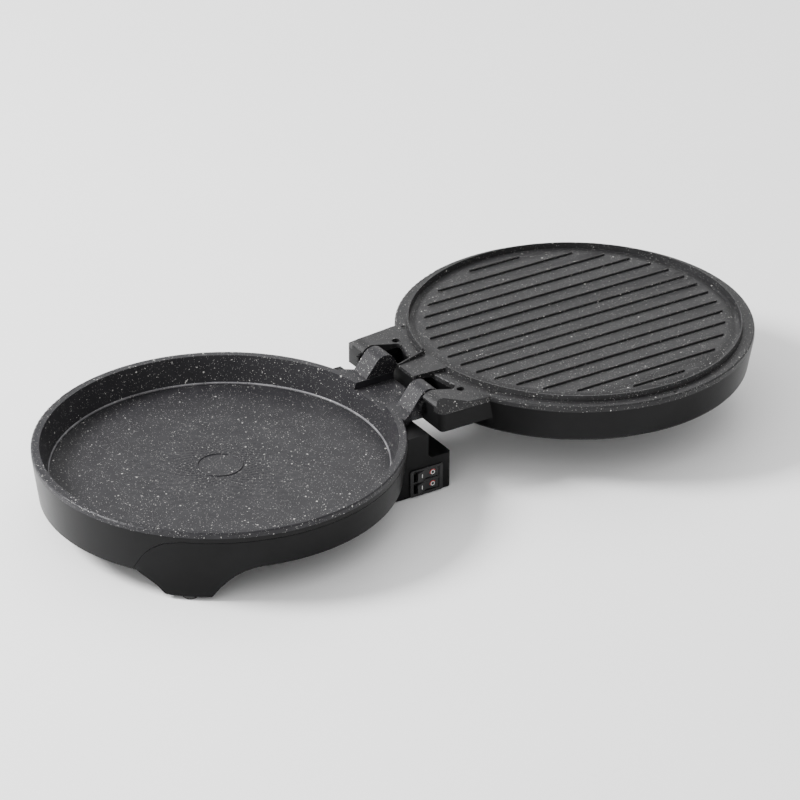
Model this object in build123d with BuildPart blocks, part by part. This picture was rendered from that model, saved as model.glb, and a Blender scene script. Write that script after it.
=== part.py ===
from build123d import *
import os
from math import asin, atan2, cos, hypot, pi, radians, sin, sqrt

# A round electric baking pan, lying open: the lower pan towards -Y, the lid towards +Y.
# Millimetres. The origin is on the floor under the hinge axis, +Z up, the switches on +X.

# Driving dimensions of both pans
pan_radius = 165.0
pan_offset = 187.5
rim_z = 69.5
plate_gap = 0.4
hinge_z = 76.35
lid_z = 2 * hinge_z - rim_z - plate_gap
lip_height = 5.3
lip_round = 1.6
foot_radius = 160.0

# Lower cooking plate
rim_inner = 157.5
floor_radius = 150.0
pan_depth = 26.0
floor_z = rim_z - pan_depth
floor_thickness = 5.0
plate_under_z = floor_z - floor_thickness
centre_ring_radius = 20.0
channel_half = 25.0
channel_depth = 6.5
bridge_z = 60.5
bridge_back = 8.0
hump_in = 26.5
hump_out = 48.0
hump_radius = 11.5
hump_base_y = -20.0

# Hinge
pin_radius = 3.0
pin_in = 31.0
pin_out = 62.0
bush_radius = 4.6
bush_in = 53.8
bush_out = 61.8
running_gap = 0.06
fit_gap = 0.02

# Lid plate
lid_under_z = lid_z - 3.2
bead_in = 151.5
bead_out = 154.5
bead_height = 5.3
disc_radius = 143.5
disc_rise = 1.5
drain_in = 146.0
rib_count = 15
rib_pitch = 19.2
rib_circle = 137.1
rib_height = 1.9
rib_width = 1.8
tongue_tip = 5.4
tongue_tip_half = 13.7
tongue_root = 36.5
tongue_root_half = 20.0
tongue_wall = 1.4
tongue_tip_rise = 0.8
tongue_root_rise = 4.0
ear_in = 50.5
ear_out = 80.0
ear_front = 8.8
ear_corner = 6.0
ear_floor = 60.5
ear_step = 69.0
cheek_top = 81.7
web_front = 13.6
web_back = 38.0
web_low = 50.0
web_top = 74.2
ear_radius = 11.3
ear_slope_end = 22.0
ear_hole_x = 54.5
ear_hole_y = 28.5

# Plastic housings
shell_top = rim_z - lip_height
shell_low = 32.3
apron_low = 23.0
apron_back = -285.0
space_low = 27.8
shell_wall = 4.0
band_wall = 1.8
band_strip_z = rim_z - 9.8
seam = 0.3
leg_angle = 50.4
leg_bottom = 4.0
leg_depth = 17.0
block_half = 75.0
block_wall = 2.6
block_floor = 1.8
block_bottom = 1.0
block_top = 60.3
block_step_y = -18.0
block_step_z = 35.5
block_front = -58.0
block_back = 6.0
base_z = 20.0
base_wall = 2.5
pad_radius = 6.5
front_pad_ring = 152.0
rear_pad_x = 58.0
rear_pad_y = -2.0
lid_shell_low = 45.4
lid_wall = 2.2
cover_radius = 118.0

# Switches
bezel_y0, bezel_y1 = -37.5, -3.5
bezel_z0, bezel_z1 = 1.2, 27.5
sleeve_z0, sleeve_z1 = 3.0, 26.6
switch_y = -20.6
switch_x = 70.0
opening_half = 13.4
rocker_zs = {"upper_plate_rocker": (15.6, 25.4), "lower_plate_rocker": (4.0, 13.8)}
rocker_gap = 0.4
rocker_reach = 14.1
rocker_lift = 31.8
rocker_valley = 5.0
rocker_rest = 8.0
trunnion_radius = 1.2

# Heaters
element_radius = 3.4
element_ring = 95.0
element_end = 30.0
shield_radius = 125.0
boss_ring = 112.0
lid_boss_ring = 135.0
boss_radius = 5.5
screw_radius = 1.9
sink_depth = 1.2
ear_wall = 1.6
ear_edge = 2.4
head_radius = 3.8

lower_axis = Axis((0, -pan_offset, 0), (0, 0, 1))
upper_axis = Axis((0, pan_offset, 0), (0, 0, 1))
lower_side = Plane(origin=(0, -pan_offset, 0), x_dir=(1, 0, 0), z_dir=(0, -1, 0))
upper_side = Plane(origin=(0, pan_offset, 0), x_dir=(1, 0, 0), z_dir=(0, -1, 0))
across = Plane(origin=(0, 0, 0), x_dir=(0, 1, 0), z_dir=(1, 0, 0))


def level(z, y=0):
    return Plane.XY.offset(z).move(Location((0, y, 0)))


def outer(z, low=apron_low, top=shell_top):
    # the housings taper from the rim to the foot
    return foot_radius + (pan_radius - foot_radius) * (z - low) / (top - low)


def save(piece, name):
    piece.part.label = name
    export_step(piece.part, "parts/" + name + ".step")


def tangent_point(y, z, radius):
    # where a line from (y, z), in front of the hinge, touches a circle on the hinge axis
    reach = hypot(y, hinge_z - z)
    slope = atan2(hinge_z - z, -y) + asin(radius / reach)
    return (-radius * sin(slope), hinge_z + radius * cos(slope))


os.makedirs("parts", exist_ok=True)

# Lower cooking plate: a deep pan with a thick rim, hinge humps and a drain channel
with BuildPart() as lower_cooking_plate:
    with BuildSketch(lower_side):
        with BuildLine():
            Polyline(
                (0, plate_under_z), (floor_radius + 3.5, plate_under_z), (rim_inner + 3.3, shell_top),
                (pan_radius, shell_top), (pan_radius, rim_z - lip_round),
            )
            RadiusArc((pan_radius, rim_z - lip_round), (pan_radius - lip_round, rim_z), -lip_round)
            Polyline(
                (pan_radius - lip_round, rim_z), (rim_inner, rim_z), (floor_radius, floor_z + 3),
            )
            RadiusArc((floor_radius, floor_z + 3), (floor_radius - 3.4, floor_z), 3.4)
            Polyline((floor_radius - 3.4, floor_z), (0, floor_z), (0, plate_under_z))
        make_face()
    revolve(axis=lower_axis)
    with BuildSketch(level(floor_z, -pan_offset)):
        Circle(centre_ring_radius + 0.7)
        Circle(centre_ring_radius - 0.7, mode=Mode.SUBTRACT)
    extrude(amount=0.5)
    with BuildSketch(level(bridge_z)):
        with BuildLine():
            Polyline(
                (-hump_out - 9, -32), (hump_out + 9, -32), (hump_out, -19), (hump_out, bridge_back),
                (-hump_out, bridge_back), (-hump_out, -19), (-hump_out - 9, -32),
            )
        make_face()
    extrude(amount=rim_z - bridge_z)
    touch = tangent_point(hump_base_y, rim_z, hump_radius)
    for side in (-1, 1):
        with BuildSketch(across.offset(side * (hump_in + hump_out) / 2)):
            with BuildLine():
                Polyline((0, bridge_z), (hump_base_y, bridge_z), (hump_base_y, rim_z), touch)
                ThreePointArc(touch, (0, hinge_z + hump_radius), (hump_radius, hinge_z))
                ThreePointArc(
                    (hump_radius, hinge_z), (hump_radius * cos(pi / 5), hinge_z - hump_radius * sin(pi / 5)),
                    (4, hinge_z - sqrt(hump_radius**2 - 16)),
                )
                Polyline((4, hinge_z - sqrt(hump_radius**2 - 16)), (4, bridge_z), (0, bridge_z))
            make_face()
        extrude(amount=(hump_out - hump_in) / 2, both=True)
    # the pan's inside is open right through the bridge
    with BuildSketch(level(floor_z, -pan_offset)):
        Circle(floor_radius)
    extrude(amount=rim_z - floor_z, taper=-16, mode=Mode.SUBTRACT)
    with BuildSketch(level(rim_z - channel_depth, -15)):
        Rectangle(2 * channel_half, 60)
    extrude(amount=channel_depth + 30, mode=Mode.SUBTRACT)
    for side in (-1, 1):
        with BuildSketch(across.offset(side * (pin_in - 0.5))):
            with Locations((0, hinge_z)):
                Circle(pin_radius + fit_gap)
        extrude(amount=side * 30, mode=Mode.SUBTRACT)
    # cast bosses under the floor take the fixing screws
    with BuildSketch(level(base_z + base_wall + 0.1, -pan_offset)):
        with PolarLocations(boss_ring, 4, start_angle=45):
            Circle(boss_radius)
    extrude(amount=plate_under_z - base_z - base_wall)
    with BuildSketch(level(base_z, -pan_offset)):
        with PolarLocations(boss_ring, 4, start_angle=45):
            Circle(screw_radius + fit_gap)
    extrude(amount=14, mode=Mode.SUBTRACT)
save(lower_cooking_plate, "lower_cooking_plate")


def band_solid(wall, grow=0.0):
    # full height between the front legs, a thin strip under the rim beside them
    right = [
        (85 + grow, apron_low - 1), (88 + grow, 27), (97 + grow, 42), (104 + grow, 50 - grow),
        (112 + grow, 56 - grow), (124, band_strip_z - grow), (170, band_strip_z - grow), (170, rim_z),
    ]
    left = [(-x, z) for x, z in reversed(right)]
    with BuildPart(mode=Mode.PRIVATE) as band:
        with BuildSketch(lower_side):
            Polygon(*right, *left, align=None)
        extrude(amount=pan_radius + 5)
        with BuildSketch(level(band_strip_z - grow, -pan_offset + 90)):
            Rectangle(350, 182)
        extrude(amount=rim_z - band_strip_z + grow)
        with BuildSketch(lower_side):
            Polygon(
                (outer(apron_low) - wall, apron_low), (outer(apron_low), apron_low),
                (pan_radius, shell_top), (pan_radius - wall, shell_top), align=None,
            )
        revolve(axis=lower_axis, mode=Mode.INTERSECT)
        with BuildSketch(level(0, -10)):
            Rectangle(2 * block_half, 70)
        extrude(amount=rim_z, mode=Mode.SUBTRACT)
    return band.part


# Trim band round the front of the lower pan, running on as a strip under the rim
with BuildPart() as front_trim_band:
    add(band_solid(band_wall))
save(front_trim_band, "front_trim_band")

# Lower housing: a tapered wall with two front legs and the switch block at the back
leg_outline = [
    (-46, 23), (-42.7, 20.8), (-35.2, 16.4), (-28.2, 11.9), (-21.5, 5.2), (-20, leg_bottom), (20, leg_bottom),
    (27.4, 13.4), (34.3, 20.1), (41.3, 25.6), (48, 28.9), (55, 31.1), (62, 32.3), (62, 50), (-46, 50),
]
with BuildPart(mode=Mode.PRIVATE) as pan_space:
    # nothing of the housing stands in here, where the cooking plate hangs
    with BuildSketch(lower_side):
        Polygon(
            (0, space_low), (outer(space_low) - shell_wall, space_low), (pan_radius - shell_wall, shell_top),
            (pan_radius - shell_wall, shell_top + 20), (0, shell_top + 20), align=None,
        )
    revolve(axis=lower_axis)
with BuildPart() as lower_shell:
    with BuildSketch(across) as block_side:
        Polygon(
            (block_front, block_bottom), (block_back, block_bottom), (block_back, block_step_z),
            (block_step_y, block_step_z), (block_step_y, block_top), (block_front, block_top), align=None,
        )
        fillet(block_side.vertices().sort_by_distance((block_step_y, block_step_z))[0], 4)
    extrude(amount=block_half, both=True)
    fillet(
        lower_shell.edges().filter_by(Axis.Z).filter_by_position(Axis.Y, block_back - 1, block_back + 1), 4,
    )
    with BuildSketch(across):
        Polygon(
            (block_front + block_wall, block_bottom + block_floor),
            (block_back - block_wall, block_bottom + block_floor),
            (block_back - block_wall, block_step_z - block_wall),
            (block_step_y - block_wall, block_step_z - block_wall),
            (block_step_y - block_wall, block_top - block_wall),
            (block_front + block_wall, block_top - block_wall), align=None,
        )
    extrude(amount=block_half - block_wall, both=True, mode=Mode.SUBTRACT)
    add(pan_space.part, mode=Mode.SUBTRACT)
    for side in (-1, 1):
        with BuildPart(mode=Mode.PRIVATE) as leg:
            ahead = Vector(-side * sin(radians(leg_angle)), cos(radians(leg_angle)), 0)
            foot = Vector(0, -pan_offset, 0) - ahead * (foot_radius + 4)
            with BuildSketch(Plane(origin=foot, x_dir=Vector(-ahead.Y, ahead.X, 0), z_dir=ahead)):
                Polygon(*[(-side * s, z) for s, z in leg_outline], align=None)
            extrude(amount=leg_depth + 2)
            with BuildSketch(lower_side):
                Polygon(
                    (0, 0), (foot_radius - 0.6, 0), (foot_radius, apron_low),
                    (pan_radius, shell_top), (0, shell_top), align=None,
                )
            revolve(axis=lower_axis, mode=Mode.INTERSECT)
            add(pan_space.part, mode=Mode.SUBTRACT)
        add(leg.part)
    # the housing's wall, deeper between the front legs
    with BuildPart(mode=Mode.PRIVATE) as wall:
        with BuildSketch(lower_side):
            Polygon(
                (foot_radius - shell_wall, apron_low), (foot_radius, apron_low),
                (pan_radius, shell_top), (pan_radius - shell_wall, shell_top), align=None,
            )
        revolve(axis=lower_axis)
        with BuildSketch(level(0, apron_back + 200)):
            Rectangle(400, 400)
        extrude(amount=shell_low, mode=Mode.SUBTRACT)
    add(wall.part)
    # the plate's hinge bridge crosses the wall here
    with BuildSketch(level(block_top + 0.1)):
        Polygon(
            (-hump_out - 13, -42), (hump_out + 13, -42), (hump_out + 9, -31), (hump_out + 1, -18),
            (-hump_out - 1, -18),
            (-hump_out - 9, -31), align=None,
        )
    extrude(amount=6, mode=Mode.SUBTRACT)
    # lugs for the base cover's screws
    with BuildSketch(level(shell_low + base_wall, -pan_offset)):
        with PolarLocations(152.5, 5, start_angle=270):
            Rectangle(15, 12)
    extrude(amount=3.2)
    with BuildSketch(level(shell_low, -pan_offset)):
        with PolarLocations(150, 5, start_angle=270):
            Circle(screw_radius + fit_gap)
    extrude(amount=10, mode=Mode.SUBTRACT)
    add(band_solid(band_wall, seam), mode=Mode.SUBTRACT)
    # the switch bezel's window and the gland's hole
    with BuildSketch(Plane.YZ.offset(block_half - 10)):
        with Locations(((bezel_y0 + bezel_y1) / 2, (sleeve_z0 + sleeve_z1) / 2)):
            Rectangle(bezel_y1 - bezel_y0 - 3, sleeve_z1 - sleeve_z0 + 0.2)
    extrude(amount=20, mode=Mode.SUBTRACT)
    with BuildSketch(Plane.YZ.offset(-block_half - 5)):
        with Locations((-22, 15)):
            Circle(5.05)
    extrude(amount=20, mode=Mode.SUBTRACT)
    # pockets for the rubber pads
    turn = radians(leg_angle)
    with BuildSketch(level(0)):
        with Locations(
            (front_pad_ring * sin(turn), -pan_offset - front_pad_ring * cos(turn)),
            (-front_pad_ring * sin(turn), -pan_offset - front_pad_ring * cos(turn)),
        ):
            Circle(4.05)
        with Locations((rear_pad_x, rear_pad_y), (-rear_pad_x, rear_pad_y)):
            Circle(pad_radius - 2 + 0.05)
    extrude(amount=leg_bottom + 3, mode=Mode.SUBTRACT)
save(lower_shell, "lower_shell")

# Base cover: a dished plate that closes the lower housing
with BuildPart() as base_cover:
    with BuildSketch(lower_side):
        Polygon(
            (0, base_z), (132, base_z), (138, shell_low - 0.2), (156.2, shell_low - 0.2),
            (156.2, shell_low + base_wall - 0.2), (136, shell_low + base_wall - 0.2),
            (130.4, base_z + base_wall), (0, base_z + base_wall), align=None,
        )
    revolve(axis=lower_axis)
    with BuildSketch(level(0, -10)):
        Rectangle(2 * block_half + 6, -2 * (block_front - 1) - 20)
    extrude(amount=60, mode=Mode.SUBTRACT)
    with BuildSketch(level(base_z - 1, -pan_offset)):
        with PolarLocations(92, 10, start_angle=18):
            SlotOverall(34, 4)
        with PolarLocations(boss_ring, 4, start_angle=45):
            Circle(screw_radius + fit_gap)
    extrude(amount=base_wall + 2, mode=Mode.SUBTRACT)
    with BuildSketch(level(shell_low - 1, -pan_offset)):
        with PolarLocations(150, 5, start_angle=270):
            Circle(screw_radius + fit_gap)
    extrude(amount=6, mode=Mode.SUBTRACT)
save(base_cover, "base_cover")


def screws(name, spots, z, length, head=2.0):
    # pan-head screws with a cross recess, driven along Z
    with BuildPart() as group:
        with BuildSketch(Plane.XY.offset(z)):
            with Locations(*spots):
                Circle(screw_radius)
        extrude(amount=length)
        with BuildSketch(Plane.XY.offset(z)):
            with Locations(*spots):
                Circle(head_radius)
        extrude(amount=-head)
        with BuildSketch(Plane.XY.offset(z - head)):
            with Locations(*spots):
                Rectangle(3.6, 0.9)
                Rectangle(0.9, 3.6)
        extrude(amount=head / 2, mode=Mode.SUBTRACT)
    save(group, name)


def ring_spots(radius, count, start, centre_y):
    angles = [radians(start + 360 * i / count) for i in range(count)]
    return [(radius * cos(a), centre_y + radius * sin(a)) for a in angles]


screws("lower_plate_screws", ring_spots(boss_ring, 4, 45, -pan_offset), base_z, 12)
screws("base_cover_screws", ring_spots(150, 5, 270, -pan_offset), shell_low - 0.2, 5.4)

# Rubber pads under the legs and the block
with BuildPart() as rubber_feet:
    turn = radians(leg_angle)
    front_x = front_pad_ring * sin(turn)
    front_y = -pan_offset - front_pad_ring * cos(turn)
    with BuildSketch(level(0)):
        with Locations((front_x, front_y), (-front_x, front_y)):
            Circle(pad_radius - 2)
        with Locations((rear_pad_x, rear_pad_y), (-rear_pad_x, rear_pad_y)):
            Circle(pad_radius - 2)
    extrude(amount=leg_bottom - 0.5)
    with BuildSketch(level(0)):
        with Locations((front_x, front_y), (-front_x, front_y)):
            Circle(pad_radius)
    extrude(amount=leg_bottom)
    with BuildSketch(level(0)):
        with Locations((front_x, front_y), (-front_x, front_y)):
            Circle(4)
    extrude(amount=leg_bottom + 2.5)
save(rubber_feet, "rubber_feet")

# Switch bezel with two windows, one above the other
switch_mid_z = (bezel_z0 + bezel_z1) / 2
with BuildPart() as switch_bezel:
    with BuildSketch(Plane.YZ.offset(block_half)):
        with Locations(((bezel_y0 + bezel_y1) / 2, switch_mid_z)):
            RectangleRounded(bezel_y1 - bezel_y0, bezel_z1 - bezel_z0, 2)
    extrude(amount=1.2)
    with BuildSketch(Plane.YZ.offset(block_half)):
        with Locations(((bezel_y0 + bezel_y1) / 2, (sleeve_z0 + sleeve_z1) / 2)):
            Rectangle(bezel_y1 - bezel_y0 - 3.2, sleeve_z1 - sleeve_z0)
    extrude(amount=-10)
    for low, high in rocker_zs.values():
        with BuildSketch(Plane.YZ.offset(block_half - 12)):
            with Locations((switch_y, (low + high) / 2)):
                Rectangle(2 * opening_half, high - low)
        extrude(amount=15, mode=Mode.SUBTRACT)
        with BuildSketch(level((low + high) / 2)):
            with Locations((switch_x, switch_y)):
                Circle(trunnion_radius + running_gap)
        extrude(amount=(high - low) / 2 + 0.8, both=True, mode=Mode.SUBTRACT)
save(switch_bezel, "switch_bezel")

# Rockers: a shallow V that tips about an upright pin at its middle, at rest pressed at its back end
for name, (low, high) in rocker_zs.items():
    with BuildPart() as rocker:
        tip = [rocker_reach * cos(radians(rocker_lift)), rocker_reach * sin(radians(rocker_lift))]
        outline = [(rocker_valley, 0), (tip[1], tip[0]), (tip[1] - 4, tip[0] - 0.6), (-2.5, 5), (-2.5, -5),
                   (tip[1] - 4, 0.6 - tip[0]), (tip[1], -tip[0])]
        with BuildSketch(Plane(origin=(switch_x, switch_y, low + rocker_gap), x_dir=(
            cos(radians(rocker_rest)), sin(radians(rocker_rest)), 0), z_dir=(0, 0, 1))):
            Polygon(*outline, align=None)
        extrude(amount=high - low - 2 * rocker_gap)
        with BuildSketch(level(low - 0.6)):
            with Locations((switch_x, switch_y)):
                Circle(trunnion_radius)
        extrude(amount=high - low + 1.2)
    save(rocker, name)

# Switch body behind the rockers, with its spade terminals
with BuildPart() as switch_body:
    with BuildSketch(Plane.YZ.offset(block_half - 28)):
        with Locations((switch_y, switch_mid_z + 0.4)):
            Rectangle(27, 20)
    extrude(amount=17.8)
    with BuildSketch(Plane.YZ.offset(block_half - 28)):
        with Locations((switch_y, switch_mid_z + 0.6)):
            with GridLocations(9, 9, 2, 2):
                Rectangle(0.8, 4.8)
    extrude(amount=-7)
save(switch_body, "switch_body")

# Gland for the mains lead on the far side of the block
with BuildPart() as cable_gland:
    with BuildSketch(Plane.YZ.offset(-block_half - 3)):
        with Locations((-22, 15)):
            Circle(7.5)
    extrude(amount=3)
    with BuildSketch(Plane.YZ.offset(-block_half)):
        with Locations((-22, 15)):
            Circle(5)
    extrude(amount=8)
    with BuildSketch(Plane.YZ.offset(-block_half - 4)):
        with Locations((-22, 15)):
            Circle(3.4)
    extrude(amount=14, mode=Mode.SUBTRACT)
    fillet(cable_gland.edges().filter_by(GeomType.CIRCLE).group_by(Axis.X)[0][-1], 0.8)
save(cable_gland, "cable_gland")

# Terminal block in the switch block
with BuildPart() as terminal_block:
    with BuildSketch(level(block_bottom + block_floor + 0.1)):
        with Locations((-20, -20)):
            Rectangle(44, 16)
    extrude(amount=12)
    with BuildSketch(level(block_bottom + block_floor + 12.1)):
        with Locations((-20, -20)):
            with GridLocations(13, 0, 3, 1):
                Circle(3)
    extrude(amount=-6, mode=Mode.SUBTRACT)
save(terminal_block, "terminal_block")


def heater(name, z, centre_y, turn):
    # an open ring of sheathed heater with its two cold ends
    with BuildPart() as element:
        gap = radians(element_end)
        start = (element_ring * sin(gap), turn * element_ring * cos(gap))
        with BuildLine(level(z, centre_y)) as path:
            ThreePointArc(start, (0, -turn * element_ring), (-start[0], start[1]))
        route = path.edges()[0]
        with BuildSketch(Plane(origin=route @ 0, z_dir=route % 0)):
            Circle(element_radius)
        sweep()
    save(element, name)


def heat_shield(name, side, z, centre_y, up):
    # a shallow steel dish behind the heater, holed for the bosses
    with BuildPart() as shield:
        with BuildSketch(side):
            Polygon(
                (0, z), (shield_radius, z), (shield_radius, z + up * 4), (shield_radius - 0.7, z + up * 4),
                (shield_radius - 0.7, z + up * 0.7), (0, z + up * 0.7), align=None,
            )
        revolve(axis=Axis((0, centre_y, 0), (0, 0, 1)))
        with BuildSketch(level(z - 2, centre_y)):
            with PolarLocations(boss_ring, 4, start_angle=45):
                Circle(boss_radius + 1)
        extrude(amount=5, mode=Mode.SUBTRACT)
    save(shield, name)


def thermostat(name, z, centre_y, up):
    # a snap disc pressed against the plate, in its mounting ring
    with BuildPart() as disc:
        with BuildSketch(level(z, centre_y)):
            Circle(8)
        extrude(amount=up * 4)
        with BuildSketch(level(z + up * 4, centre_y)):
            Circle(11)
        extrude(amount=up * 0.8)
        with BuildSketch(level(z + up * 4.8, centre_y)):
            with GridLocations(8, 0, 2, 1):
                Rectangle(0.8, 4)
        extrude(amount=up * 2)
    save(disc, name)


def element_clamps(name, z, centre_y, up):
    # three saddles that hold the heater against the plate
    with BuildPart() as saddles:
        with BuildSketch(level(z, centre_y)):
            with PolarLocations(element_ring, 3, start_angle=0 if up < 0 else 180):
                Rectangle(24, 8)
        extrude(amount=up * (2 * element_radius + 0.4 + 1.2))
        with BuildSketch(level(z, centre_y)):
            with PolarLocations(element_ring, 3, start_angle=0 if up < 0 else 180):
                Rectangle(2 * element_radius + 3, 9)
        extrude(amount=up * (2 * element_radius + 0.4), mode=Mode.SUBTRACT)
    save(saddles, name)


lower_element_z = plate_under_z - element_radius - 0.1
upper_element_z = lid_under_z - element_radius - 0.1
heater("lower_heating_element", lower_element_z, -pan_offset, 1)
heat_shield("lower_heat_shield", lower_side, base_z + base_wall + 1.5, -pan_offset, 1)
thermostat("lower_thermostat", plate_under_z - 0.1, -pan_offset, -1)
element_clamps("lower_element_clamps", plate_under_z - 0.05, -pan_offset, -1)

# Hinge pins, fixed in the lower plate's humps
for name, side in (("hinge_pin_left", -1), ("hinge_pin_right", 1)):
    with BuildPart() as pin:
        with BuildSketch(across.offset(side * pin_in)):
            with Locations((0, hinge_z)):
                Circle(pin_radius)
        extrude(amount=side * (pin_out - pin_in))
        chamfer(pin.edges().filter_by(GeomType.CIRCLE), 0.5)
    save(pin, name)

# Bushes in the lid's ears, which turn on the pins
for name, side in (("hinge_bush_left", -1), ("hinge_bush_right", 1)):
    with BuildPart() as bush:
        with BuildSketch(across.offset(side * bush_in)):
            with Locations((0, hinge_z)):
                Circle(bush_radius)
                Circle(pin_radius + running_gap, mode=Mode.SUBTRACT)
        extrude(amount=side * (bush_out - bush_in))
    save(bush, name)


def ear_plan(side, shrink=0.0):
    # seen from above: a straight front edge and a rounded outer corner
    inner = side * (ear_in + shrink)
    far = side * (ear_out - shrink)
    near = -ear_front + shrink
    turn = side * ear_corner
    with BuildSketch(Plane.XY, mode=Mode.PRIVATE) as plan:
        with BuildLine():
            Polyline((inner, 34), (inner, near), (far - turn, near))
            TangentArc((far - turn, near), (far, near + ear_corner), tangent=(side, 0))
            Polyline((far, near + ear_corner), (far, 52), (inner, 52), (inner, 34))
        make_face()
    return plan.sketch


# Lid plate: a flat grill plate with ribs, a drain ring, a drain tongue and two ears
with BuildPart() as upper_cooking_plate:
    with BuildSketch(upper_side):
        with BuildLine():
            Polyline(
                (0, lid_under_z), (158, lid_under_z), (160, lid_z - lip_height),
                (pan_radius, lid_z - lip_height), (pan_radius, lid_z - lip_round),
            )
            RadiusArc((pan_radius, lid_z - lip_round), (pan_radius - lip_round, lid_z), -lip_round)
            Polyline(
                (pan_radius - lip_round, lid_z), (bead_out, lid_z), (bead_out - 0.8, lid_z + bead_height),
                (bead_in + 0.8, lid_z + bead_height), (bead_in, lid_z), (drain_in, lid_z),
                (disc_radius, lid_z + disc_rise), (0, lid_z + disc_rise), (0, lid_under_z),
            )
        make_face()
    revolve(axis=upper_axis)
    # the tongue cuts the bead and carries the drain out towards the lower pan
    slant = (tongue_root_half - tongue_tip_half) / (tongue_root - tongue_tip)
    root_half = tongue_root_half + 3 * slant
    with BuildSketch(level(lid_z)):
        Polygon(
            (-tongue_tip_half, tongue_tip), (tongue_tip_half, tongue_tip), (root_half, tongue_root + 3),
            (root_half, 42), (-root_half, 42), (-root_half, tongue_root + 3), align=None,
        )
    extrude(amount=10, mode=Mode.SUBTRACT)
    with BuildSketch(level(lid_z - 3.2)):
        Polygon(
            (-tongue_tip_half, tongue_tip), (tongue_tip_half, tongue_tip), (tongue_root_half, tongue_root),
            (-tongue_root_half, tongue_root), align=None,
        )
    extrude(amount=3.2)
    with BuildPart(mode=Mode.PRIVATE) as tongue_walls:
        for side in (-1, 1):
            root_x = side * tongue_root_half
            with BuildSketch(level(lid_z)):
                Polygon(
                    (side * tongue_tip_half, tongue_tip), (root_x, tongue_root), (root_x, tongue_root + 0.6),
                    (root_x - side * tongue_wall, tongue_root + 0.6),
                    (side * (tongue_tip_half - tongue_wall), tongue_tip), align=None,
                )
            extrude(amount=bead_height)
        with BuildSketch(across.offset(-2 * tongue_root_half)):
            Polygon(
                (tongue_tip - 1, lid_z + tongue_tip_rise), (tongue_root + 1, lid_z + tongue_root_rise),
                (tongue_root + 1, lid_z + 2 * bead_height), (tongue_tip - 1, lid_z + 2 * bead_height),
                align=None,
            )
        extrude(amount=4 * tongue_root_half, mode=Mode.SUBTRACT)
    add(tongue_walls.part)
    # ears
    for side in (-1, 1):
        with BuildPart(mode=Mode.PRIVATE) as ear:
            slope_y = ear_radius * sin(radians(12.5))
            slope_z = hinge_z + ear_radius * cos(radians(12.5))
            nose_y = -sqrt(ear_radius**2 - (lid_z - lip_height - hinge_z) ** 2)
            with BuildSketch(across.offset(side * (ear_in + ear_out) / 2)):
                with BuildLine():
                    Polyline((nose_y, lid_z - lip_height), (52, lid_z - lip_height), (52, lid_z),
                             (ear_slope_end, lid_z), (slope_y, slope_z))
                    nose_mid = (-ear_radius * sin(0.6), hinge_z + ear_radius * cos(0.6))
                    ThreePointArc((slope_y, slope_z), nose_mid, (nose_y, lid_z - lip_height))
                make_face()
            extrude(amount=(ear_out - ear_in) / 2, both=True)
            with BuildSketch(level(0)):
                add(ear_plan(side))
            extrude(amount=120, mode=Mode.INTERSECT)
            # a slanted facet takes off the outer top edge
            facet_spot = (side * ear_step, 0, hinge_z + ear_radius - 0.6)
            with BuildSketch(Plane(origin=facet_spot, z_dir=(side * 0.71, -0.09, 1))):
                Rectangle(140, 140)
            extrude(amount=30, mode=Mode.SUBTRACT)
            # the cheek of the housing fits in a step in front
            step_y = -ear_front + ear_wall + seam
            with BuildSketch(level(lid_z - 8)):
                Polygon(
                    (side * (ear_in - 1), -20), (side * ear_step, -20), (side * ear_step, step_y),
                    (side * (ear_in - 1), step_y), align=None,
                )
            extrude(amount=cheek_top + seam - lid_z + 8, mode=Mode.SUBTRACT)
            # the knuckle under the nose, open at its front, holds the bush
            with BuildSketch(across.offset(side * bush_in)):
                Polygon(
                    (-3.4, hinge_z - 7), (8, hinge_z - 7), (16, lid_z - lip_height + 1),
                    (-3.4, lid_z - lip_height + 1), align=None,
                )
            extrude(amount=side * (bush_out - bush_in))
        add(ear.part)
        with BuildSketch(across.offset(side * (ear_in - 1))):
            with Locations((0, hinge_z)):
                Circle(bush_radius + fit_gap)
        extrude(amount=side * (bush_out - ear_in + 1.2), mode=Mode.SUBTRACT)
    with BuildSketch(level(lid_z - 8)):
        with Locations((ear_hole_x, ear_hole_y), (-ear_hole_x, ear_hole_y)):
            Circle(3.7)
    extrude(amount=10, mode=Mode.SUBTRACT)
    # grill ribs, cut to a circle
    with BuildSketch(level(lid_z + disc_rise, pan_offset)):
        with GridLocations(rib_pitch, 0, rib_count, 1):
            Rectangle(rib_width, 2 * rib_circle)
        Circle(rib_circle, mode=Mode.INTERSECT)
    extrude(amount=rib_height)
    with BuildSketch(level(lid_under_z, pan_offset)):
        with PolarLocations(lid_boss_ring, 4, start_angle=45):
            Circle(boss_radius)
    extrude(amount=-(lid_under_z - lid_shell_low - lid_wall - 0.1))
    with BuildSketch(level(lid_shell_low, pan_offset)):
        with PolarLocations(lid_boss_ring, 4, start_angle=45):
            Circle(screw_radius + fit_gap)
    extrude(amount=16, mode=Mode.SUBTRACT)
save(upper_cooking_plate, "upper_cooking_plate")

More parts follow.
